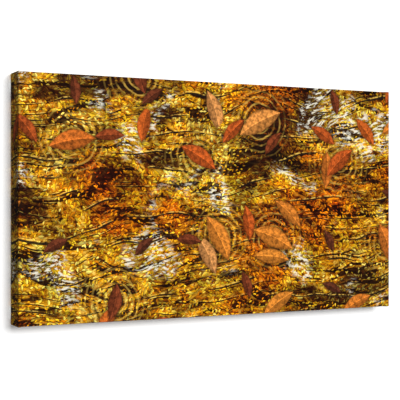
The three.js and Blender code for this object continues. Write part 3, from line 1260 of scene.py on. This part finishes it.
hanger = {
    "length": 0.052,
    "above": 0.007,  # from the notches to the top edge
    "below": 0.0025,  # from the notches to the tips of the teeth
    "thickness": 0.001,
    "stand": 0.0017,
    "raised": 0.030,
    "slope": 0.004,
    "slopeSteps": 6,
    "notches": 9,
    "pitch": 0.003,
    "tip": 0.0008,
    "tipRound": 0.0002,
    "corner": 0.002,
    "eased": 0.00015,
    "inset": 0.031,
}
nail = {
    "spacing": 0.044,
    "up": 0.0022,
    "shank": 0.0016,
    "length": 0.011,
    "point": 0.002,
    "head": 0.004,
    "dome": 0.0007,
    "domeAt": (0.25, 0.5, 0.7, 0.85, 0.95),  # rings on the dome, as shares of its radius
    "domeCurve": 2.4,
    "rim": 0.00012,
    "play": 0.0001,
    "tilt": {"right": 1.5, "left": -2},  # degrees
}


def hangerOutline():
    half = hanger["length"] / 2
    mouth = (hanger["pitch"] - hanger["tip"]) / 2
    above, below, corner, tip = hanger["above"], hanger["below"], hanger["corner"], hanger["tipRound"]
    corners = [(-half, -above, corner), (half, -above, corner), (half, below, corner)]
    for notch in range(hanger["notches"]):
        middle = ((hanger["notches"] - 1) / 2 - notch) * hanger["pitch"]
        corners += [(middle + mouth, below, tip), (middle, 0, tip), (middle - mouth, below, tip)]
    return rounded([*corners, (-half, below, corner)])


def circle(x, y, radius, count=20):
    angles = [2 * math.pi * index / count for index in range(count)]
    return [Vector((x + radius * math.cos(angle), y + radius * math.sin(angle))) for angle in angles]


def filled(outlines):
    # a flat mesh inside the first outline and outside the others
    curve = bpy.data.curves.new("outline", "CURVE")
    curve.dimensions = "2D"
    curve.fill_mode = "BOTH"
    for outline in outlines:
        spline = curve.splines.new("POLY")
        spline.points.add(len(outline) - 1)
        spline.points.foreach_set("co", [value for x, y in outline for value in (x, y, 0, 1)])
        spline.use_cyclic_u = True
    shape = addObject("outline", curve)
    mesh = bpy.data.meshes.new_from_object(shape.evaluated_get(bpy.context.evaluated_depsgraph_get()))
    bpy.data.objects.remove(shape)
    return mesh


def raiseMiddle(edit):
    # bends the flat plate so that its middle stands off the bar
    flat = hanger["raised"] / 2
    for end in (-1, 1):
        for part in range(hanger["slopeSteps"] + 1):
            cut = (end * (flat + hanger["slope"] * part / hanger["slopeSteps"]), 0, 0)
            everything = [*edit.verts, *edit.edges, *edit.faces]
            bmesh.ops.bisect_plane(edit, geom=everything, dist=1e-7, plane_co=cut, plane_no=(1, 0, 0))
    for vert in edit.verts:
        vert.co.z = -hanger["stand"] * float(1 - ease((abs(vert.co.x) - flat) / hanger["slope"]))
    bmesh.ops.remove_doubles(edit, verts=edit.verts, dist=1e-6)
    facesOut(edit)


def makeHanger():
    radius = nail["shank"] / 2 + nail["play"]
    holes = [circle(end * nail["spacing"] / 2, -nail["up"], radius) for end in (-1, 1)]
    mesh = reworked(filled([hangerOutline(), *holes]), raiseMiddle)
    if mesh.polygons[0].normal.z > 0:
        mesh.flip_normals()
    piece = addObject("sawtoothHanger", mesh)
    plate = piece.modifiers.new("plate", "SOLIDIFY")
    plate.thickness = hanger["thickness"]
    plate.offset = -1
    eased = piece.modifiers.new("eased", "BEVEL")
    eased.width = hanger["eased"]
    eased.segments = 2
    eased.limit_method = "ANGLE"
    eased.angle_limit = math.radians(40)
    applied(piece)
    seat = Matrix.Translation((0, hanger["inset"], bar["skin"] - hanger["thickness"]))
    piece.data.transform(sideFrame(sides["top"]) @ seat)
    smooth(piece.data)
    finishPiece(piece, "brass_plate", "hanger")


def turned(name, profile, place, steps=40):
    # turns a profile of radius and height about the height, from one end of it to the other
    points = [Vector((0, 0, profile[0][1])), Vector((0, 0, profile[-1][1]))]
    inside = profile[1:-1]
    for radius, height in inside:
        points += [Vector((*point, height)) for point in circle(0, 0, radius, steps)]
    faces = []
    for index in range(steps):
        after = (index + 1) % steps
        faces.append((0, 2 + after, 2 + index))
        for ring in range(len(inside) - 1):
            low = 2 + ring * steps
            faces.append((low + index, low + after, low + steps + after, low + steps + index))
        low = 2 + (len(inside) - 1) * steps
        faces.append((1, low + index, low + after))
    mesh = reworked(meshFrom(name, points, faces), facesOut)
    mesh.transform(place)
    smooth(mesh, 40)
    return addObject(name, mesh)


def makeNail(place, end):
    head, shank, dome, long = nail["head"] / 2, nail["shank"] / 2, nail["dome"], nail["length"]
    profile = [(0, -dome)]
    curve = nail["domeCurve"]
    profile += [(head * share, -dome * (1 - share ** curve)) for share in nail["domeAt"]]
    profile += [(head, -nail["rim"]), (head, 0), (shank, 0), (shank, long - nail["point"]), (0, long)]
    seat = (end * nail["spacing"] / 2, hanger["inset"] - nail["up"], bar["skin"] - hanger["thickness"])
    tilt = Matrix.Rotation(math.radians(nail["tilt"][place]), 4, "X")
    matrix = sideFrame(sides["top"]) @ Matrix.Translation(seat) @ tilt
    piece = turned("hangerNail" + place.capitalize(), profile, matrix)
    finishPiece(piece, "brass_plate", "hanger_nail_" + place)


makeHanger()
makeNail("right", -1)
makeNail("left", 1)


# Bumpers, from the bottom bar to the wall

bumper = {
    "base": 0.006,
    "face": 0.0055,
    "round": 0.0013,
    "baseRound": 0.0002,
    "fromEnd": 0.062,
    "inset": 0.0294,
}


def makeBumper(place, end):
    height = bar["skin"] - picture["back"]
    profile = rounded([
        (0, 0, 0),
        (bumper["face"], 0, bumper["round"]),
        (bumper["base"], height, bumper["baseRound"]),
        (0, height, 0),
    ])
    seat = (end * (picture["width"] / 2 - bumper["fromEnd"]), bumper["inset"], picture["back"])
    matrix = sideFrame(sides["bottom"]) @ Matrix.Translation(seat)
    piece = turned("bumper" + place.capitalize(), profile, matrix)
    finishPiece(piece, "bumper_rubber", "bumper_" + place)


makeBumper("left", -1)
makeBumper("right", 1)
print("hanger, nails and bumpers made")


# Stage and lights

light = {
    "target": (0, 0, -0.14),
    "key": {"power": 90, "place": (0.12, -2.85, 0.45), "size": (1.6, 1.1)},
    "back": {"power": 50, "place": (0.3, 2.5, 0.7), "size": (1.1, 1.1)},
    "ambient": 0.28,
    "backdrop": 1.05,
}
wall = {
    "paint": (0.94, 0.94, 0.94, 1),
    "glow": 0.10,  # stands for the light that other walls send back
    "reach": 0.65,
    "low": -0.68,
    "high": 0.42,
}
white = (1, 1, 1, 1)


def addArea(name):
    look = light[name]
    data = bpy.data.lights.new(name, "AREA")
    data.energy = look["power"]
    data.shape = "ELLIPSE"
    data.size, data.size_y = look["size"]
    lamp = addObject(name, data)
    lamp.location = look["place"]
    way = Vector(light["target"]) - Vector(look["place"])
    lamp.rotation_euler = way.to_track_quat("-Z", "Y").to_euler()


def emptyTree(owner):
    owner.use_nodes = True
    owner.node_tree.nodes.clear()
    return owner.node_tree


def makeWorld():
    world = bpy.data.worlds.new("world")
    tree = emptyTree(world)
    ambient = put("ShaderNodeBackground", {0: white, 1: light["ambient"]}, tree)
    backdrop = put("ShaderNodeBackground", {0: white, 1: light["backdrop"]}, tree)
    seen = put("ShaderNodeLightPath", {}, tree, "Is Camera Ray")
    both = put("ShaderNodeMixShader", {0: seen, 1: ambient, 2: backdrop})
    put("ShaderNodeOutputWorld", {0: both})
    bpy.context.scene.world = world


def makeWall():
    # seen from in front only, so that the back of the picture shows
    material = bpy.data.materials.new("wall")
    tree = emptyTree(material)
    paint = put("ShaderNodeBsdfDiffuse", {0: wall["paint"]}, tree)
    glow = put("ShaderNodeEmission", {0: white, 1: wall["glow"]}, tree)
    paint = put("ShaderNodeAddShader", {0: paint, 1: glow})
    clear = put("ShaderNodeBsdfTransparent", {}, tree)
    behind = put("ShaderNodeNewGeometry", {}, tree, "Backfacing")
    both = put("ShaderNodeMixShader", {0: behind, 1: paint, 2: clear})
    put("ShaderNodeOutputMaterial", {0: both})
    reach, low, high = wall["reach"], wall["low"], wall["high"]
    points = [(-reach, 0, low), (reach, 0, low), (reach, 0, high), (-reach, 0, high)]
    stage = addObject("wall", meshFrom("wall", points, [(0, 1, 2, 3)]))
    stage.data.materials.append(material)
    stage.visible_shadow = False
    stage.visible_diffuse = False
    stage.visible_glossy = False


makeWorld()
makeWall()
addArea("key")
addArea("back")
bpy.context.scene.view_settings.view_transform = "Standard"
print("stage and lights set")


# The cloth joins the root body, and the frame's canvas is hidden

finishPiece(printedCloth, "printed_canvas", "canvas")
